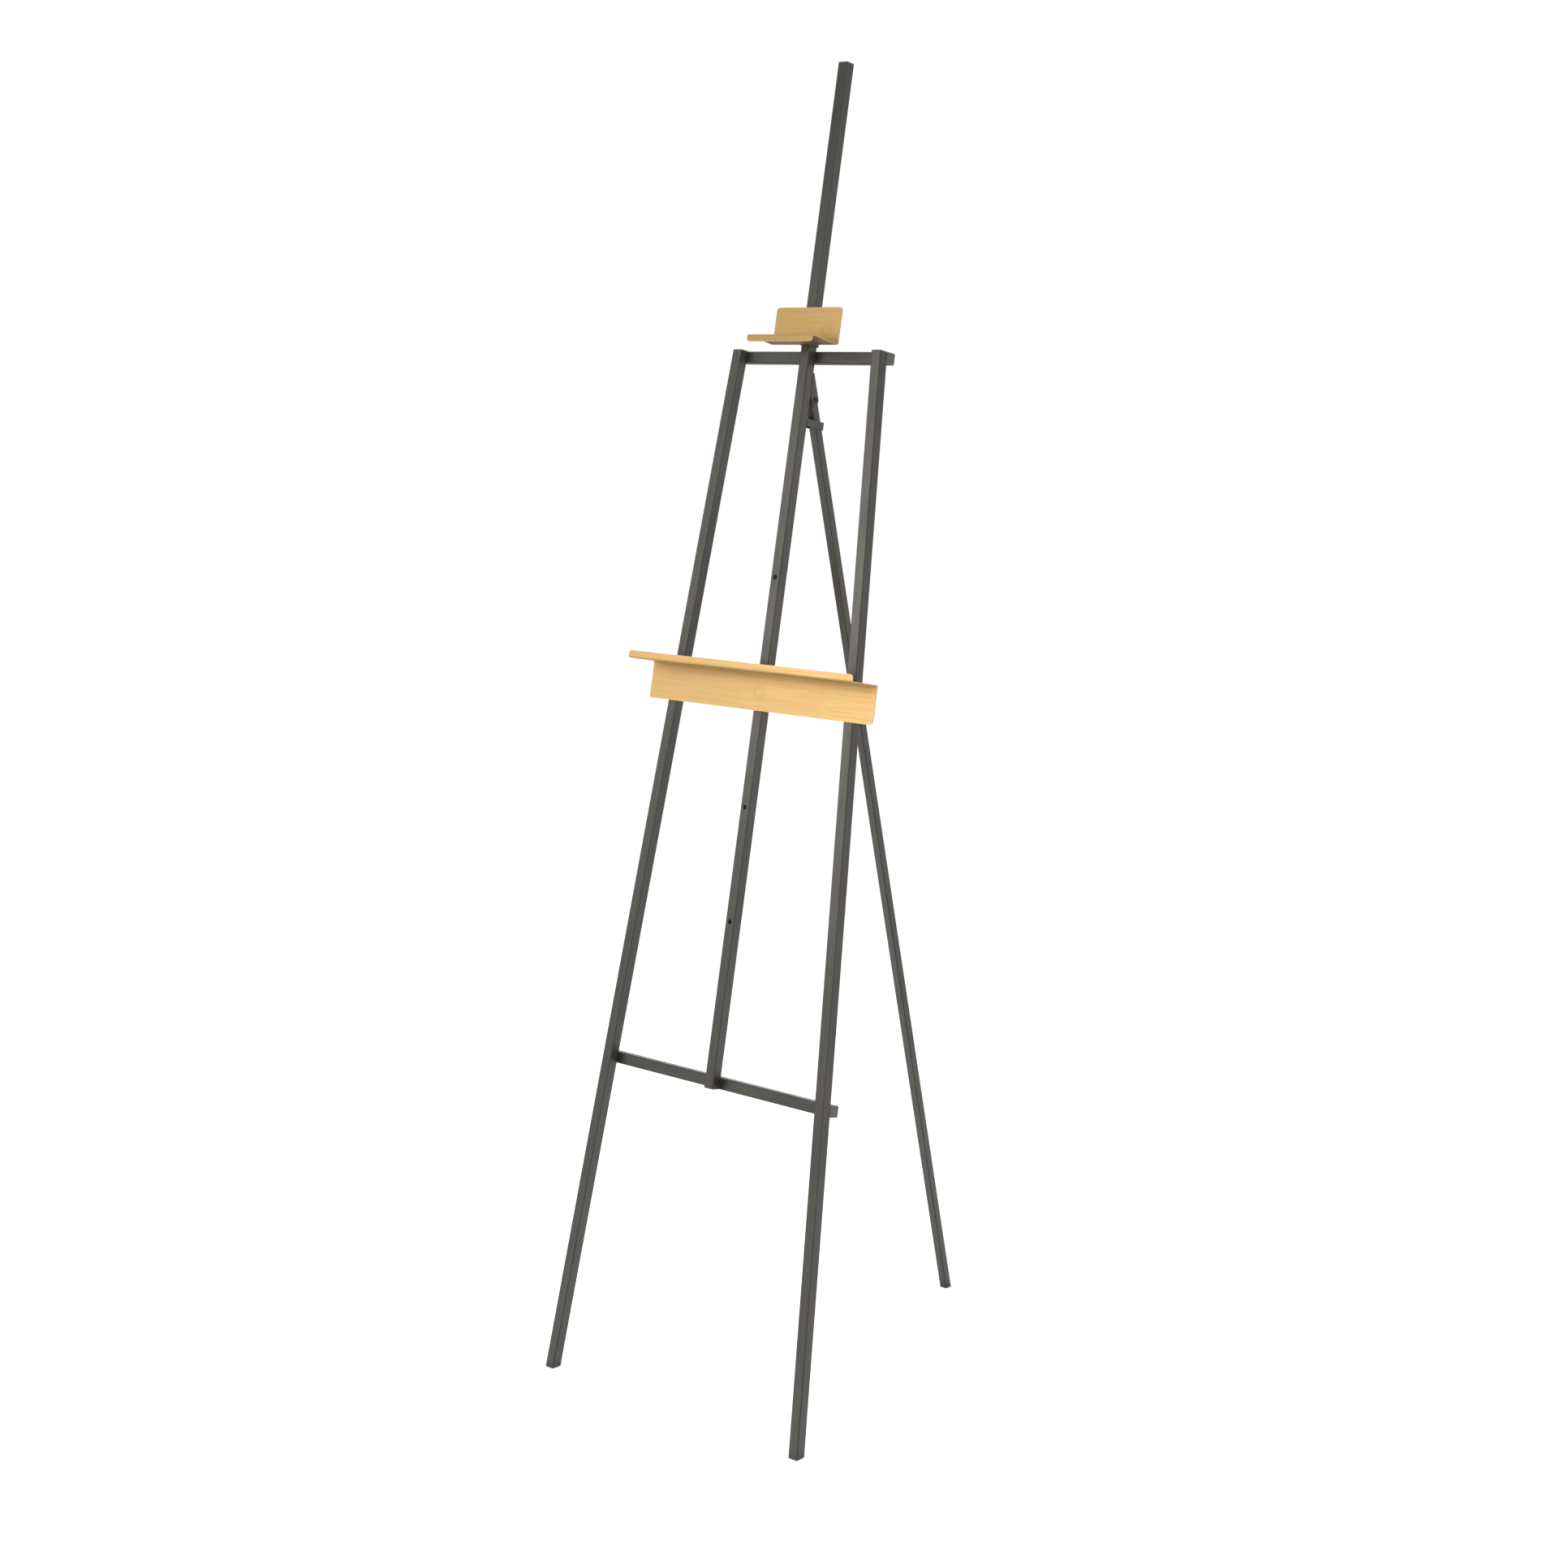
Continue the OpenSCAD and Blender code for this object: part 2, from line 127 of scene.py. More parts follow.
# Each softbox's place, the point it faces, its width and height and its power
SOFTBOXES = {
    "key": ((-0.85, -1.7, 1.54), (0, 0, 1.25), (1.0, 1.4), 9.2),
    "left_fill": ((-2.0, -0.6, 1.1), (0, 0, 1.0), (1.2, 1.2), 7),
    "front_fill": ((1.1, -1.5, 1.15), (0, 0, 1.1), (0.8, 0.8), 12),
    "high_fill": ((1.5, -2.6, 1.9), (0, 0, 1.0), (1.0, 1.0), 60),
    "back_fill": ((1.8, 1.2, 1.0), (0, 0.2, 0.8), (1.4, 1.4), 1.5),
    "top": ((0, -0.8, 3.0), (0, 0, 1.0), (1.5, 1.5), 3),
}


def make_softbox(name, location, target, size, power):
    """An oval softbox that the camera doesn't see."""
    data = bpy.data.lights.new(name, "AREA")
    data.shape = "ELLIPSE"
    data.size, data.size_y = size
    data.energy = power
    light = bpy.data.objects.new(name, data)
    light.location = location
    light.rotation_euler = (Vector(target) - Vector(location)).to_track_quat("-Z", "Y").to_euler()
    light.visible_camera = False
    bpy.context.scene.collection.objects.link(light)


def make_light():
    """The studio all round, which is darker just above the horizon, and its softboxes."""
    world = bpy.data.worlds.new("studio")
    world.use_nodes = True
    tree = world.node_tree
    direction = tree.nodes.new("ShaderNodeTexCoord").outputs["Generated"]
    height = tree.nodes.new("ShaderNodeSeparateXYZ")
    share = tree.nodes.new("ShaderNodeMapRange")
    share.inputs["From Min"].default_value = -1
    ramp = tree.nodes.new("ShaderNodeValToRGB")
    tree.links.new(direction, height.inputs["Vector"])
    tree.links.new(height.outputs["Z"], share.inputs["Value"])
    tree.links.new(share.outputs["Result"], ramp.inputs["Fac"])
    tree.links.new(ramp.outputs["Color"], tree.nodes["Background"].inputs["Color"])
    shares = [(1 + math.sin(math.radians(angle))) / 2 for angle, _ in STUDIO]
    tones = [(tone, tone, tone) for _, tone in STUDIO]
    set_stops(ramp, zip(shares, tones))
    tree.nodes["Background"].inputs["Strength"].default_value = CEILING
    bpy.context.scene.world = world
    bpy.context.scene.view_settings.view_transform = "Standard"
    for name, settings in SOFTBOXES.items():
        make_softbox(name, *settings)


FLOOR_RADIUS = 60
FLOOR_SIDES = 96
FLOOR_DARK = (0.80, 0.80, 0.80)
FLOOR_LIGHT = (0.82, 0.82, 0.82)
FLOOR_GLOW = 0.26
WHITE = (1, 1, 1, 1)


def make_floor():
    """A round sheet of white paper that glows a little, so that the object stands on white."""
    mesh = bpy.data.meshes.new("floor")
    shape = bmesh.new()
    bmesh.ops.create_circle(shape, cap_ends=True, segments=FLOOR_SIDES, radius=FLOOR_RADIUS)
    shape.to_mesh(mesh)
    shape.free()
    floor = bpy.data.objects.new("floor", mesh)
    bpy.context.scene.collection.objects.link(floor)
    shader = Shader("floor_paper")
    grain = shader.noise(shader.coordinates(), scale=9, detail=3)
    tone = shader.ramp(grain, (0.35, FLOOR_DARK), (0.65, FLOOR_LIGHT))
    shader.surface(
        Base_Color=tone,
        Roughness=0.9,
        Emission_Color=WHITE,
        Emission_Strength=FLOOR_GLOW,
    )
    mesh.materials.append(shader.material)


# ---------------------------------------------------------------- materials

PAINT_DARK = (0.060, 0.0568, 0.0504)
PAINT_LIGHT = (0.079, 0.0748, 0.0665)
# The colour of the painted shade in the paint's corners, undersides and sheltered places
GUNMETAL_PAINTED_SHADE = (0.020, 0.019, 0.017)
# The colour of the paint's rubbed edges, which also paint a highlight along the corners
PAINT_RUBBED_HIGHLIGHT = (0.16, 0.155, 0.145)

BRASS_DARK = (0.445, 0.285, 0.112)
BRASS_MIDDLE = (0.487, 0.314, 0.127)
BRASS_LIGHT = (0.530, 0.345, 0.144)
BRASS_CLOUD = (0.43, 0.28, 0.125)
BRASS_MARK = (0.34, 0.21, 0.09)
# The colour of the painted shade under the brass and in its sheltered places
BRASS_PAINTED_SHADE = (0.150, 0.088, 0.026)
# The colour of the painted highlight along the brass's edges
BRASS_PAINTED_HIGHLIGHT = (0.92, 0.72, 0.44)

BLACK_STEEL = (0.040, 0.039, 0.037)
ZINC = (0.62, 0.63, 0.64)
TURNED_BRASS = (0.80, 0.58, 0.27)
CAP_PLASTIC = (0.048, 0.046, 0.042)
KNOB_PLASTIC = (0.018, 0.018, 0.018)

NOISE_ROUGHNESS = 0.55
PAINT_GRAIN_SHARE = 0.45


def toned(colour, factor):
    """A colour made darker or lighter."""
    return [min(1, factor * part) for part in colour]


def set_stops(ramp, stops):
    """Gives a colour ramp its stops, as (position, colour)."""
    stops = list(stops)
    elements = ramp.color_ramp.elements
    while len(elements) < len(stops):
        elements.new(0.5)
    for element, (position, colour) in zip(elements, stops):
        element.position = position
        element.color = (*colour, 1)


class Shader:
    """A material's node tree, with a short way to add each kind of node."""

    def __init__(self, name):
        self.material = bpy.data.materials.new(name)
        self.material.use_nodes = True
        self.tree = self.material.node_tree
        self.principled = self.tree.nodes["Principled BSDF"]

    def set(self, socket, value):
        """Links an output to a socket, or gives the socket a constant."""
        if isinstance(value, bpy.types.NodeSocket):
            self.tree.links.new(value, socket)
        else:
            socket.default_value = value

    def node(self, kind, **settings):
        made = self.tree.nodes.new("ShaderNode" + kind)
        for name, value in settings.items():
            setattr(made, name, value)
        return made

    def surface(self, **sockets):
        """Sets the principled shader's inputs, named with underscores for spaces."""
        for name, value in sockets.items():
            self.set(self.principled.inputs[name.replace("_", " ")], value)

    def coordinates(self, turn=(0, 0, 0), stretch=(1, 1, 1)):
        """Object coordinates, turned and then scaled."""
        source = self.node("TexCoord").outputs["Object"]
        rotated = self.node("Mapping")
        self.set(rotated.inputs["Vector"], source)
        rotated.inputs["Rotation"].default_value = turn
        scaled = self.node("Mapping")
        self.set(scaled.inputs["Vector"], rotated.outputs["Vector"])
        scaled.inputs["Scale"].default_value = stretch
        return scaled.outputs["Vector"]

    def noise(self, vector, scale, detail):
        made = self.node("TexNoise")
        self.set(made.inputs["Vector"], vector)
        made.inputs["Scale"].default_value = scale
        made.inputs["Detail"].default_value = detail
        made.inputs["Roughness"].default_value = NOISE_ROUGHNESS
        return made.outputs["Fac"]

    def math(self, operation, first, second=0.0):
        made = self.node("Math", operation=operation)
        self.set(made.inputs[0], first)
        self.set(made.inputs[1], second)
        return made.outputs[0]

    def range(self, value, low, high, to_low, to_high):
        made = self.node("MapRange")
        self.set(made.inputs["Value"], value)
        made.inputs["From Min"].default_value = low
        made.inputs["From Max"].default_value = high
        made.inputs["To Min"].default_value = to_low
        made.inputs["To Max"].default_value = to_high
        return made.outputs["Result"]

    def ramp(self, value, *stops):
        made = self.node("ValToRGB")
        self.set(made.inputs["Fac"], value)
        set_stops(made, stops)
        return made.outputs["Color"]

    def mix(self, factor, first, second):
        made = self.node("Mix", data_type="RGBA")
        self.set(made.inputs["Factor"], factor)
        for socket, value in zip((made.inputs["A"], made.inputs["B"]), (first, second)):
            self.set(socket, value if isinstance(value, bpy.types.NodeSocket) else (*value, 1))
        return made.outputs["Result"]

    def edges(self, radius, low, high):
        """1 along edges sharper than the radius, 0 on the flats."""
        rounded = self.node("Bevel", samples=6)
        rounded.inputs["Radius"].default_value = radius
        true_normal = self.node("NewGeometry").outputs["Normal"]
        compare = self.node("VectorMath", operation="DOT_PRODUCT")
        self.set(compare.inputs[0], rounded.outputs["Normal"])
        self.set(compare.inputs[1], true_normal)
        return self.range(compare.outputs["Value"], high, low, 0, 1)

    def facing(self, direction):
        """How far the surface faces a direction, from -1 to 1."""
        compare = self.node("VectorMath", operation="DOT_PRODUCT")
        self.set(compare.inputs[0], self.node("NewGeometry").outputs["Normal"])
        compare.inputs[1].default_value = direction
        return compare.outputs["Value"]

    def corners(self, direction):
        """1 on a rounded corner, 0 on the faces that lie along the direction or square to it."""
        facing = self.facing(direction)
        square = self.math("MULTIPLY", facing, facing)
        rest = self.math("SUBTRACT", 1.0, square)
        product = self.math("MULTIPLY", square, rest)
        return self.math("SQRT", self.math("MULTIPLY", product, 4.0))

    def painted_shelter_shade(self, distance, strength):
        """Painted shade: up to the strength where other faces stand close by, 0 in the open."""
        made = self.node("AmbientOcclusion", samples=8)
        made.inputs["Distance"].default_value = distance
        return self.range(made.outputs["AO"], 0.35, 0.95, strength, 0)

    def bump(self, height, strength, distance):
        made = self.node("Bump")
        self.set(made.inputs["Height"], height)
        made.inputs["Strength"].default_value = strength
        made.inputs["Distance"].default_value = distance
        return made.outputs["Normal"]


def turn_to(direction):
    """The turn that lays a direction along Z."""
    return direction.rotation_difference(Vector((0, 0, 1))).to_euler()


def gunmetal(name, along, wear=0.2, roughness=0.33, depth=0.75):
    """Dark satin paint with a faint grain along the tube, rubbed edges and painted shade.

    The wear is how far its edges are rubbed paler, which also paints a highlight along the corners, and the depth
    how dark the painted shade makes its corners, undersides and sheltered places. Corners and undersides are
    rougher than the faces too."""
    shader = Shader(name)
    streaks = shader.noise(shader.coordinates(turn_to(along), (1, 1, 0.03)), scale=700, detail=3)
    clouds = shader.noise(shader.coordinates(turn_to(along), (1, 1, 0.25)), scale=45, detail=5)
    speckle = shader.noise(shader.coordinates(), scale=1500, detail=2)
    fine = shader.math("MULTIPLY", streaks, PAINT_GRAIN_SHARE)
    broad = shader.math("MULTIPLY", clouds, 1 - PAINT_GRAIN_SHARE)
    blend = shader.math("ADD", fine, broad)
    paint = shader.ramp(blend, (0.36, PAINT_DARK), (0.62, PAINT_LIGHT))
    sideways = BACK if abs(along.dot(ACROSS)) > 0.9 else ACROSS
    # Painted shade: corners, undersides and sheltered places are darkened, and corners and undersides are made
    # rougher
    underneath = shader.range(shader.facing(-UP), 0.5, 0.95, 0, 1)
    corners = shader.corners(sideways)
    dull_and_shaded = shader.math("MAXIMUM", corners, underneath)
    painted_shade = shader.math("MULTIPLY", dull_and_shaded, depth)
    deepest_painted_shade = shader.math("MAXIMUM", painted_shade, shader.painted_shelter_shade(distance=0.018, strength=depth))
    shaded = shader.mix(deepest_painted_shade, paint, GUNMETAL_PAINTED_SHADE)
    sheen = shader.range(blend, 0.3, 0.7, roughness + 0.05, roughness - 0.05)
    # Paler rubbed edges in patches: wear, and a painted highlight along the corners
    patches = shader.range(clouds, 0.40, 0.62, 0, wear)
    paler_edges = shader.math("MULTIPLY", shader.edges(radius=0.0007, low=0.90, high=0.995), patches)
    shader.surface(
        Base_Color=shader.mix(paler_edges, shaded, PAINT_RUBBED_HIGHLIGHT),
        Metallic=0.8,
        Roughness=shader.math("ADD", sheen, shader.math("MULTIPLY", dull_and_shaded, 0.3)),
        Normal=shader.bump(shader.math("ADD", speckle, streaks), strength=0.06, distance=0.0002),
    )
    return shader.material


def brushed_brass(name, tone, marks):
    """Brass brushed from side to side, with a painted highlight on its edges and painted shade on its undersides
    and sheltered places.

    The marks are faint rings, each a centre and a radius, where something is welded behind."""
    shader = Shader(name)
    fine = shader.noise(shader.coordinates(stretch=(0.012, 1, 1)), scale=2600, detail=3)
    broad = shader.noise(shader.coordinates(stretch=(0.02, 1, 1)), scale=420, detail=4)
    clouds = shader.noise(shader.coordinates(stretch=(0.4, 1, 1)), scale=22, detail=4)
    half_fine = shader.math("MULTIPLY", fine, 0.5)
    half_broad = shader.math("MULTIPLY", broad, 0.5)
    grain = shader.math("ADD", half_fine, half_broad)
    metal = shader.ramp(
        grain,
        (0.36, toned(BRASS_DARK, tone)),
        (0.50, toned(BRASS_MIDDLE, tone)),
        (0.66, toned(BRASS_LIGHT, tone)),
    )
    brushed = shader.mix(shader.range(clouds, 0.4, 0.65, 0, 0.3), metal, BRASS_CLOUD)
    for centre, radius in marks:
        distance = shader.node("VectorMath", operation="DISTANCE")
        shader.set(distance.inputs[0], shader.coordinates())
        shader.set(distance.inputs[1], centre)
        past_ring = shader.math("SUBTRACT", distance.outputs["Value"], radius)
        off_ring = shader.math("ABSOLUTE", past_ring)
        strength = shader.range(off_ring, 0, radius / 2, 0.42, 0)
        broken = shader.range(clouds, 0.3, 0.7, 1, 0)
        brushed = shader.mix(shader.math("MULTIPLY", strength, broken), brushed, BRASS_MARK)
    # Painted shade on the undersides and in sheltered places
    underneath = shader.range(shader.facing(-UP), 0.1, 0.95, 0, 0.42)
    painted_shade = shader.math("MAXIMUM", underneath, shader.painted_shelter_shade(distance=0.022, strength=0.75))
    shaded = shader.mix(painted_shade, brushed, BRASS_PAINTED_SHADE)
    # Painted highlight along the edges
    edge_highlight = shader.math("MULTIPLY", shader.edges(radius=0.0006, low=0.90, high=0.995), 0.5)
    shader.surface(
        Base_Color=shader.mix(edge_highlight, shaded, BRASS_PAINTED_HIGHLIGHT),
        Metallic=1.0,
        Roughness=shader.range(grain, 0.3, 0.7, 0.46, 0.34),
        Normal=shader.bump(grain, strength=0.18, distance=0.0002),
    )
    return shader.material


def machined(name, colour, roughness):
    """Plain metal with fine turning marks and brighter edges."""
    shader = Shader(name)
    marks = shader.noise(shader.coordinates(), scale=2200, detail=3)
    clouds = shader.noise(shader.coordinates(), scale=260, detail=4)
    metal = shader.ramp(clouds, (0.35, toned(colour, 0.8)), (0.65, colour))
    paler_edges = shader.math("MULTIPLY", shader.edges(radius=0.0003, low=0.85, high=0.99), 0.6)
    shader.surface(
        Base_Color=shader.mix(paler_edges, metal, toned(colour, 1.25)),
        Metallic=1.0,
        Roughness=shader.range(marks, 0.3, 0.7, roughness - 0.06, roughness + 0.06),
        Normal=shader.bump(marks, strength=0.12, distance=0.0001),
    )
    return shader.material


def moulded_plastic(name, colour):
    """Fine-grained moulded plastic, a little paler where its edges are rubbed."""
    shader = Shader(name)
    grain = shader.noise(shader.coordinates(), scale=1400, detail=3)
    clouds = shader.noise(shader.coordinates(), scale=90, detail=4)
    body = shader.ramp(clouds, (0.35, colour), (0.65, toned(colour, 1.2)))
    paler_edges = shader.math("MULTIPLY", shader.edges(radius=0.0005, low=0.88, high=0.99), 0.5)
    shader.surface(
        Base_Color=shader.mix(paler_edges, body, toned(colour, 1.5)),
        Roughness=shader.range(grain, 0.3, 0.7, 0.48, 0.60),
        Normal=shader.bump(grain, strength=0.25, distance=0.0002),
    )
    return shader.material


# ---------------------------------------------------------------- mesh helpers

# How near two points are when they count as one, and how small a bend counts as flat
SAME_POINT = 0.00002
FLAT_ANGLE = math.radians(0.5)


def add_piece(name, mesh, material, body, slot, *nodes):
    """Puts a finished mesh in the scene as a piece that stands for the given CAD nodes."""
    mesh.materials.append(material)
    for face in mesh.polygons:
        face.use_smooth = True
    piece = bpy.data.objects.new(name, mesh)
    bpy.context.scene.collection.objects.link(piece)
    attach(piece, body)
    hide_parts(*nodes)
    return piece


def round_edges(piece, width, segments=2, angle=35):
    """Rounds a piece's sharp edges and evens its shading."""
    bevel = piece.modifiers.new("round_edges", "BEVEL")
    bevel.width = width
    bevel.segments = segments
    bevel.limit_method = "ANGLE"
    bevel.angle_limit = math.radians(angle)
    bevel.miter_outer = "MITER_ARC"
    bevel.harden_normals = True
    piece.modifiers.new("even_shading", "WEIGHTED_NORMAL").keep_sharp = True


def dress_node(node, material, edge):
    """Keeps a CAD node, with a better material and rounded edges."""
    piece = frame["nodes"][node]
    for slot in piece.material_slots:
        slot.material = material
    weld = piece.modifiers.new("join_faces", "WELD")
    weld.merge_threshold = SAME_POINT
    flatten = piece.modifiers.new("join_flats", "DECIMATE")
    flatten.decimate_type = "DISSOLVE"
    flatten.angle_limit = FLAT_ANGLE
    round_edges(piece, edge)


def skin(shape, rings, closed_run=False):
    """Joins rings of the same number of points with quads, and closes the run or its two ends."""
    made = [[shape.verts.new(point) for point in ring] for ring in rings]
    pairs = list(zip(made, made[1:]))
    if closed_run:
        pairs.append((made[-1], made[0]))
    for lower, upper in pairs:
        for i in range(len(lower)):
            j = (i + 1) % len(lower)
            shape.faces.new((lower[i], lower[j], upper[j], upper[i]))
    if not closed_run:
        shape.faces.new(list(reversed(made[0])))
        shape.faces.new(made[-1])


def to_mesh(name, shape):
    """Turns a finished shape into a mesh whose faces all look outwards."""
    bmesh.ops.recalc_face_normals(shape, faces=shape.faces)
    mesh = bpy.data.meshes.new(name)
    shape.to_mesh(mesh)
    shape.free()
    return mesh


def turned(shape, base, axis, stations, sectors=48, hollow=False):
    """Adds a turned solid. A station is a height and a radius, or a radius at each angle."""
    first, second = any_side(axis)
    rings = []
    for height, radius in stations:
        ring = []
        for i in range(sectors):
            angle = math.tau * i / sectors
            reach = radius(angle) if callable(radius) else radius
            spoke = first * math.cos(angle) + second * math.sin(angle)
            ring.append(base + axis * height + spoke * reach)
        rings.append(ring)
    skin(shape, rings, closed_run=hollow)


FILLET_STEPS = 5
THREAD_PITCH = 0.001
THREAD_DEPTH = 0.0006
THREAD_STEPS = 8


def fillet(height, radius, size, start, end):
    """Stations around an arc whose centre is at a height and radius, between two angles."""
    stations = []
    for i in range(FILLET_STEPS + 1):
        angle = math.radians(start + (end - start) * i / FILLET_STEPS)
        stations.append((height + size * math.sin(angle), radius + size * math.cos(angle)))
    return stations


def thread(low, high, radius):
    """Stations of a screw thread between two heights, whose ends taper to the root."""
    count = round((high - low) / THREAD_PITCH * THREAD_STEPS)
    stations = []
    for i in range(count + 1):
        height = low + (high - low) * i / count
        fade = min(1, (height - low) / THREAD_PITCH, (high - height) / THREAD_PITCH)
        stations.append((height, thread_radius(height, radius, fade)))
    return stations


def thread_radius(height, radius, fade):
    """The radius of a thread at each angle, at one height."""
    def at(angle):
        turn = (height / THREAD_PITCH - angle / math.tau) % 1
        crest = 1 - abs(2 * turn - 1)
        return radius - THREAD_DEPTH + THREAD_DEPTH * crest * fade
    return at


def hexagon(across_flats):
    """The radius of a hexagon at each angle."""
    def at(angle):
        return across_flats / 2 / math.cos((angle % (math.pi / 3)) - math.pi / 6)
    return at


def smaller(first, limit):
    """A radius function that never passes a limit."""
    return lambda angle: min(first(angle), limit)


# ---------------------------------------------------------------- trays

# Bent sheets are measured forwards from the plate's back and up from the ledge's underside, and
# their bends to the sheet's middle line.
SHEET = 0.0016
BEND_RADIUS = 0.0018
BEND_CENTRE = Vector((SHEET / 2 + BEND_RADIUS, SHEET / 2 - BEND_RADIUS))
BEND_STEPS = 8
PLATE_CORNER = 0.005
LIP_CORNER = 0.004
SHEET_EDGE = 0.0004
CORNER_ANGLES = (4, 16, 28, 40, 52, 64, 76, 90)
SHEET_COLUMNS = 24


def straight(start, end, normal, shares):
    """Rows of a sheet's middle line along a flat, each a place and a normal in (forward, up)."""
    return [(start.lerp(end, share), normal) for share in shares]


def arc(centre, start_angle, end_angle, outward):
    """Rows between the ends of a bend. outward is -1 where the normals look to its centre."""
    rows = []
    for i in range(1, BEND_STEPS):
        angle = math.radians(start_angle + (end_angle - start_angle) * i / BEND_STEPS)
        spoke = Vector((math.cos(angle), math.sin(angle)))
        rows.append((centre + spoke * BEND_RADIUS, spoke * outward))
    return rows


def corner_inset(distance, radius):
    """How far a rounded corner pulls the sheet's side in, at a distance from the sheet's end."""
    gap = min(max(0, radius - distance), radius)
    return radius - math.sqrt(radius * radius - gap * gap)


def sheet_rows(plate, lip_end, slope):
    """Rows along a bent sheet: the middle line's place, its normal and how far the sides are inset.

    The line runs up the plate, along the ledge and up the lip. The ledge falls forwards by the
    slope."""
    half = SHEET / 2
    level = BEND_CENTRE + Matrix.Rotation(slope, 2) @ (lip_end - BEND_CENTRE)
    lip_line = level.x - half
    lip_bend = Vector((lip_line - BEND_RADIUS, half + BEND_RADIUS))
    upright = Vector((-1, 0))
    level_up = Vector((0, 1))
    depths = [1 - math.cos(math.radians(angle)) for angle in CORNER_ANGLES]
    plate_shares = [depth * PLATE_CORNER / (plate + BEND_CENTRE.y) for depth in depths]
    lip_height = level.y - lip_bend.y
    lip_shares = [1 - depth * LIP_CORNER / lip_height for depth in reversed(depths)]

    low_end = Vector((half, -plate))
    top_end = Vector((half, BEND_CENTRE.y))
    rising = straight(low_end, top_end, upright, [0, *plate_shares, 0.4, 0.7, 1])
    rows = []
    for point, normal in rising:
        rows.append((point, normal, corner_inset(point.y + plate, PLATE_CORNER)))
    for point, normal in arc(BEND_CENTRE, 180, 90 - math.degrees(slope), 1):
        rows.append((point, normal, 0))

    ledge_start = Vector((BEND_CENTRE.x, half))
    ledge_end = Vector((lip_bend.x, half))
    lip_start = Vector((lip_line, lip_bend.y))
    lip_top = Vector((lip_line, level.y))
    beyond = straight(ledge_start, ledge_end, level_up, [0, 0.25, 0.5, 0.75, 1])
    beyond += arc(lip_bend, -90, 0, -1)
    beyond += straight(lip_start, lip_top, upright, [0, *lip_shares, 1])
    turn = Matrix.Rotation(-slope, 2)
    for point, normal in beyond:
        inset = corner_inset(level.y - point.y, LIP_CORNER)
        rows.append((BEND_CENTRE + turn @ (point - BEND_CENTRE), turn @ normal, inset))
    return rows


def make_tray(name, body, node, mount, material, up_sign=1):
    """A bent sheet in the place of a CAD tray. up_sign is -1 where the tray is upside down.

    The mount is a face of the ledge: it gives the ledge's slope and its height."""
    front_face, back_face = span(node, BACK)
    low, high = span(node, UP)
    half_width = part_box(node)[1].x
    seat = Vector(MOUNTS[mount]["pos_m"]) - FOOT
    slope = math.asin(-Vector(MOUNTS[mount]["axis"]).dot(BACK))
    fall = (back_face - seat.dot(BACK) - BEND_CENTRE.x) * math.sin(slope)
    thickness_up = BEND_CENTRE.y + (SHEET - BEND_CENTRE.y - fall) / math.cos(slope)
    underside = seat.dot(UP) - up_sign * thickness_up
    reaches = (underside - low, high - underside)
    plate, lip = reaches if up_sign > 0 else reversed(reaches)
    shape = bmesh.new()
    rings = []
    for point, normal, inset in sheet_rows(plate, Vector((back_face - front_face, lip)), slope):
        ring = []
        for side in (1, -1):
            spot = point + normal * side * SHEET / 2
            for i in range(SHEET_COLUMNS + 1):
                across = side * (half_width - inset) * (1 - 2 * i / SHEET_COLUMNS)
                ring.append(place(across, back_face - spot.x, underside + up_sign * spot.y))
        rings.append(ring)
    skin(shape, rings)
    piece = add_piece(name, to_mesh(name, shape), material, body, "brass_finish", node)
    round_edges(piece, SHEET_EDGE, segments=3, angle=50)


# ---------------------------------------------------------------- welds

WELD_LEG = 0.0015
WELD_LENGTH = 0.012
WELD_RIPPLES = 8
WELD_ROWS = 5 * WELD_RIPPLES
WELD_STEPS = 6


def add_weld(shape, corner, along, away, forward):
    """A rippled fillet in the corner between a tube's side and a bar's front."""
    rings = []
    for i in range(WELD_ROWS + 1):
        share = i / WELD_ROWS
        taper = min(1, 0.5 + 4 * min(share, 1 - share))
        ripple = 0.94 + 0.06 * abs(math.sin(math.pi * WELD_RIPPLES * share))
        centre = corner + along * WELD_LENGTH * (share - 0.5)
        ring = [centre - away * WELD_LEG * 0.9]
        for step in range(WELD_STEPS + 1):
            angle = math.pi / 2 * step / WELD_STEPS
            leg = WELD_LEG * taper * ripple * (1 - 0.12 * math.sin(2 * angle))
            ring.append(centre + (away * math.cos(angle) + forward * math.sin(angle)) * leg)
        rings.append(ring)
    skin(shape, rings)


def make_welds(material):
    """The welds where each bar passes behind the mast and the front legs."""
    shape = bmesh.new()
    for bar in ("top_crossbar", "lower_crossbar"):
        height = sum(span(bar, UP)) / 2
        front = span(bar, BACK)[0]
        for side, name in ((-1, "left"), (1, "right")):
            add_weld(shape, place(side * HALF_TUBE, front, height), UP, ACROSS * side, -BACK)
            foot = middle(name + "_foot_plug")
            leg = middle(name + "_leg_cap") - foot
            rise = (height - (foot - FOOT).dot(UP)) / leg.dot(UP)
            inside = (foot + leg * rise).x - side * HALF_TUBE
            add_weld(shape, place(inside, front, height), leg.normalized(), ACROSS * -side, -BACK)
    mesh = to_mesh("weld_runs", shape)
    add_piece("weld_runs", mesh, material, "front_frame", "gunmetal_paint", "weld_beads")


# ---------------------------------------------------------------- screws, nuts and knobs

# The gap all round between a screw and the bore that it stands in
RUN_GAP = 0.00005

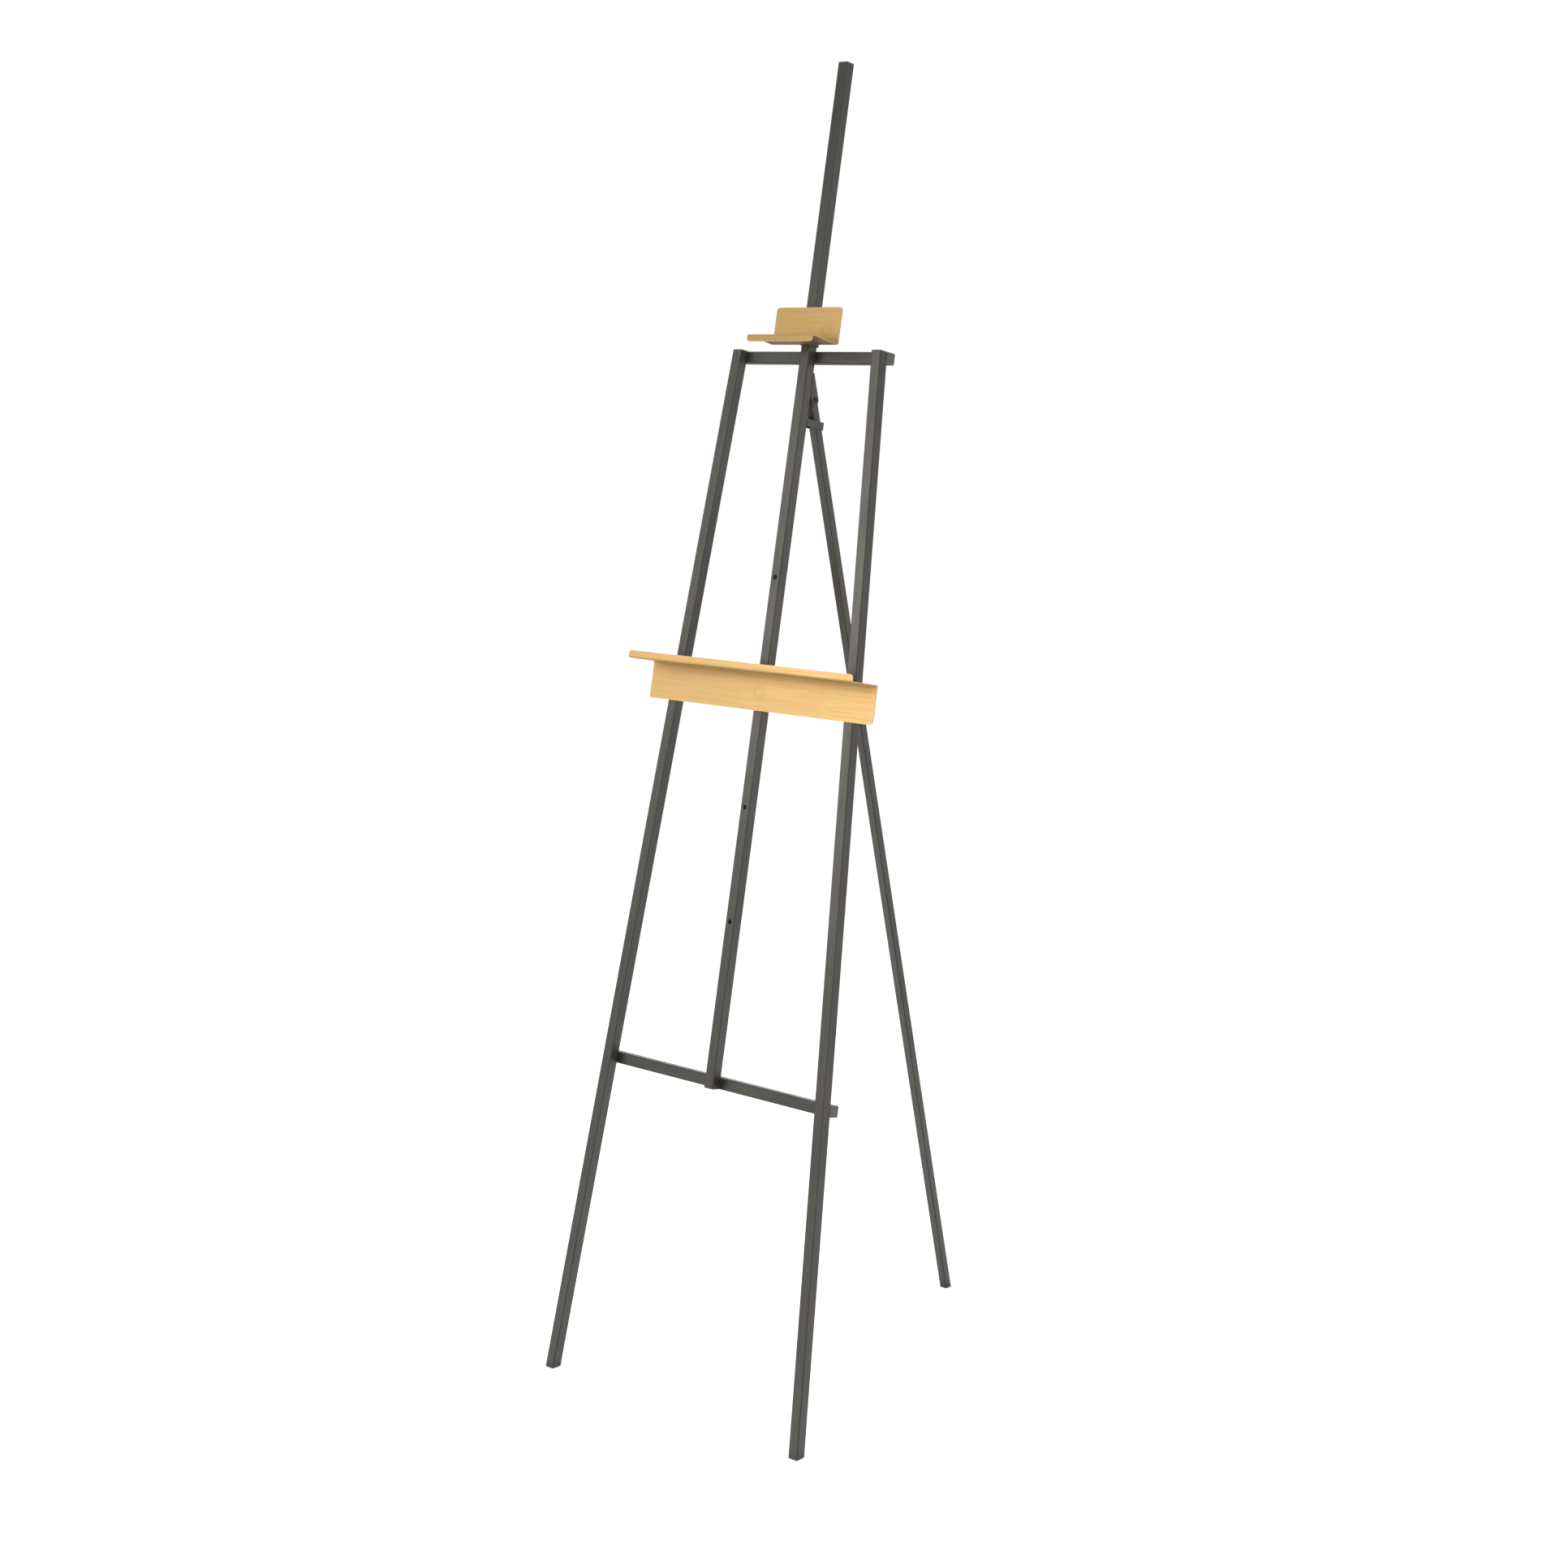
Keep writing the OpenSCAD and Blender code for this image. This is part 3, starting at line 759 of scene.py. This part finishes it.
ROD_CHAMFER = 0.0003
ROD_EDGE = 0.0001
BOLT_RADIUS = 0.0025
SOCKET_ACROSS = 0.0025
SOCKET_MOUTH = 0.0018
SOCKET_DEPTH = 0.0006
DOME_RADIUS = 0.0009
NUT_ACROSS = 0.008
COLLAR_RADIUS = 0.0037
COLLAR_HEIGHT = 0.0013
FLUTES = 8
BOSS_WELD = 0.0012


def make_turned(name, base, axis, stations, material, body, slot, node, sectors=48, hollow=False):
    """A turned piece in the place of a CAD node. A hollow one's stations run round its section."""
    shape = bmesh.new()
    turned(shape, base, axis, stations, sectors, hollow)
    return add_piece(name, to_mesh(name, shape), material, body, slot, node)


def make_rod(name, node, plain, material, body):
    """A rod along BACK in the place of a CAD node, threaded beyond its plain part."""
    low, high = span(node, BACK)
    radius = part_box(node)[1].x
    height = sum(span(node, UP)) / 2
    full = low + ROD_CHAMFER
    stations = [(low, radius - ROD_CHAMFER), (full, radius)]
    stations += [(plain, radius)] if plain > full else []
    stations += thread(max(plain, full) + 0.0001, high - 0.0004, radius)
    stations += [(high, radius - 0.0008)]
    place_on = (body, "zinc_steel", node)
    piece = make_turned(name, place(0, 0, height), BACK, stations, material, *place_on, sectors=24)
    round_edges(piece, ROD_EDGE, segments=1, angle=60)


def pivot_point():
    """The hinge axis at the frame's middle."""
    return Vector(JOINTS["rear_leg_fold"]["pos_m"])


def make_hinge_bolt(material):
    """A button head with a hexagon socket, and a thread at the other end."""
    low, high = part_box("hinge_bolt")[0].x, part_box("hinge_bolt")[1].x
    bottom, top = span("hinge_bolt", UP)
    head = (top - bottom) / 2
    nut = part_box("hinge_nut")[1].x
    socket = hexagon(SOCKET_ACROSS)
    rim = HALF_TUBE + 0.0003
    stations = [(low, BOLT_RADIUS - 0.0005)]
    stations += thread(low + 0.0004, nut, BOLT_RADIUS)
    stations += [(nut + 0.0001, BOLT_RADIUS), (HALF_TUBE, BOLT_RADIUS)]
    stations += [(HALF_TUBE, head - 0.0001), (rim, head)]
    stations += fillet(rim, head - DOME_RADIUS, DOME_RADIUS, 10, 80)
    stations += [(high, SOCKET_MOUTH), (high, socket), (high - SOCKET_DEPTH, socket)]
    place_on = ("front_frame", "black_steel", "hinge_bolt")
    make_turned("socket_bolt", pivot_point(), ACROSS, stations, material, *place_on)


def make_hinge_nut(material):
    """A chamfered hexagon nut with a round locking collar."""
    low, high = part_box("hinge_nut")[0].x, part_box("hinge_nut")[1].x
    shoulder = low + COLLAR_HEIGHT
    bore = BOLT_RADIUS + RUN_GAP
    flats = hexagon(NUT_ACROSS)
    chamfered = smaller(flats, NUT_ACROSS / 2 + 0.0001)
    stations = [
        (low, bore),
        (low, COLLAR_RADIUS - 0.0005),
        (low + 0.0001, COLLAR_RADIUS - 0.0002),
        (low + 0.0004, COLLAR_RADIUS),
        (shoulder, COLLAR_RADIUS),
        (shoulder, chamfered),
        (shoulder + 0.0003, flats),
        (high - 0.0003, flats),
        (high, chamfered),
        (high, bore),
    ]
    place_on = ("front_frame", "black_steel", "hinge_nut")
    make_turned(
        "locking_nut", pivot_point(), ACROSS, stations, material, *place_on, sectors=72, hollow=True
    )


def lobed(radius):
    """The radius of a fluted knob at each angle, for the same flutes as the CAD's."""
    flute = radius / 4
    centre = radius + flute / 2

    def at(angle):
        turn = math.tau / FLUTES
        off = (angle + turn / 2) % turn - turn / 2
        inside = flute ** 2 - (centre * math.sin(off)) ** 2
        if inside <= 0:
            return radius
        return min(radius, centre * math.cos(off) - math.sqrt(inside))
    return at


def grown(first, change):
    """A radius function made a little larger or smaller."""
    return lambda angle: first(angle) + change


def make_knob(name, node, body, bore, bore_depth, material):
    """A fluted knob with a neck, rounded rims and a dished face."""
    low, high = span(node, BACK)
    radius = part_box(node)[1].x
    height = sum(span(node, UP)) / 2
    neck = 0.6 * radius
    rim = lobed(radius)
    blind_bore = [(low + bore_depth, bore), (low, bore)]
    neck_side = [
        (low, neck - 0.0003),
        (low + 0.0003, neck),
        (low + 0.0022, neck),
        (low + 0.0027, neck + 0.0003),
        (low + 0.003, neck + 0.001),
    ]
    grip = [
        (low + 0.003, grown(rim, -0.0008)),
        (low + 0.0032, grown(rim, -0.0003)),
        (low + 0.0038, rim),
        (high - 0.0016, rim),
        (high - 0.0009, grown(rim, -0.0003)),
        (high - 0.0003, grown(rim, -0.001)),
        (high, grown(rim, -0.0018)),
    ]
    dish = [
        (high, 0.66 * radius),
        (high - 0.0003, 0.63 * radius),
        (high - 0.0009, 0.60 * radius),
        (high - 0.0011, 0.30 * radius),
        (high - 0.0009, 0.1 * radius),
    ]
    stations = blind_bore + neck_side + grip + dish
    place_on = (body, "black_plastic", node)
    make_turned(name, place(0, 0, height), BACK, stations, material, *place_on, sectors=96)


def make_boss(material):
    """The clamp's threaded boss, with the weld that holds it to the saddle."""
    low, high = span("clamp_boss", BACK)
    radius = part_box("clamp_boss")[1].x
    height = sum(span("clamp_boss", UP)) / 2
    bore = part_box("clamp_screw")[1].x + RUN_GAP
    stations = [(low, bore), (low, radius + BOSS_WELD)]
    stations += fillet(low + BOSS_WELD, radius + BOSS_WELD, BOSS_WELD, 260, 180)
    stations += [(high - 0.0006, radius), (high - 0.0002, radius - 0.0002), (high, radius - 0.0006)]
    stations += [(high, bore + 0.0004), (high - 0.0004, bore)]
    place_on = ("holder", "gunmetal_paint", "clamp_boss")
    centre = place(0, 0, height)
    make_turned("welded_boss", centre, BACK, stations, material, *place_on, hollow=True)


# ---------------------------------------------------------------- run

# How round each kind of CAD node's edges are made
WASHER_EDGE = 0.0002
STEEL_EDGE = 0.0003
PLUG_EDGE = 0.0003
CAP_EDGE = 0.0009

# The faint rings on the brass, and how far across the holder's one is
MARK_RADIUS = 0.008
HOLDER_MARK_ACROSS = 0.034

# How bright each tray's brass is, as a share of the brass colours; the holder's is made darker as painted shade
TRAY_TONE = 1
HOLDER_SHADE_TONE = 0.9

make_camera()
make_light()
make_floor()

tray_mark = place(0, 0, sum(span("tray_stud", UP)) / 2)
holder_mark = place(HOLDER_MARK_ACROSS, 0, sum(span("holder_saddle", UP)) / 2)
tray_brass = brushed_brass("tray_brass", TRAY_TONE, [(tray_mark, MARK_RADIUS)])
holder_brass = brushed_brass("holder_brass", HOLDER_SHADE_TONE, [(holder_mark, MARK_RADIUS)])
make_tray("brass_tray", "tray_carrier", "lower_tray", "tray_ledge", tray_brass)
make_tray("brass_holder", "holder", "upper_holder", "holder_ledge", holder_brass, up_sign=-1)

TUBES = {
    "left_front_leg": middle("left_leg_cap") - middle("left_foot_plug"),
    "right_front_leg": middle("right_leg_cap") - middle("right_foot_plug"),
    "rear_leg": middle("pivot_block") - middle("rear_foot_plug"),
    "mast": UP,
    "top_crossbar": ACROSS,
    "lower_crossbar": ACROSS,
    "hinge_bracket": UP,
    "stop_strap": UP,
}
for node, along in TUBES.items():
    dress_node(node, gunmetal(node + "_paint", along.normalized()), STEEL_EDGE)

PLUGS = ("left_foot_plug", "right_foot_plug", "rear_foot_plug", "pivot_block", "mast_bottom_cap")
CAPS = ("left_leg_cap", "right_leg_cap", "mast_top_cap", "crossbar_caps")
cap_plastic = moulded_plastic("cap_plastic", CAP_PLASTIC)
for node in PLUGS:
    dress_node(node, cap_plastic, PLUG_EDGE)
for node in CAPS:
    dress_node(node, cap_plastic, CAP_EDGE)

saddle_paint = gunmetal("saddle_paint", UP)
dress_node("holder_saddle", saddle_paint, STEEL_EDGE)
make_boss(saddle_paint)
# The welds take the full painted shade of their sheltered corners
make_welds(gunmetal("weld_paint", UP, wear=0, roughness=0.7, depth=1))

black_steel = machined("black_steel", BLACK_STEEL, roughness=0.5)
make_hinge_bolt(black_steel)
make_hinge_nut(black_steel)
dress_node("hinge_washer", black_steel, WASHER_EDGE)

zinc = machined("zinc", ZINC, roughness=0.34)
mast_back = span("mast", BACK)[1]
make_rod("threaded_stud", "tray_stud", mast_back, zinc, "tray_carrier")
make_rod("threaded_screw", "clamp_screw", mast_back, zinc, "clamp")
dress_node("tray_washer", zinc, WASHER_EDGE)

knob_plastic = moulded_plastic("knob_plastic", KNOB_PLASTIC)
insert_front, insert_back = span("tray_knob_insert", BACK)
insert_length = insert_back - insert_front
insert_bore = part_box("tray_knob_insert")[1].x + RUN_GAP
make_knob("fluted_tray_knob", "tray_knob", "tray_nut", insert_bore, insert_length, knob_plastic)
screw_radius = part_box("clamp_screw")[1].x
screw_depth = span("clamp_screw", BACK)[1] - span("clamp_knob", BACK)[0]
make_knob("fluted_clamp_knob", "clamp_knob", "clamp", screw_radius, screw_depth, knob_plastic)
turned_brass = machined("turned_brass", TURNED_BRASS, roughness=0.28)
dress_node("tray_knob_insert", turned_brass, WASHER_EDGE)
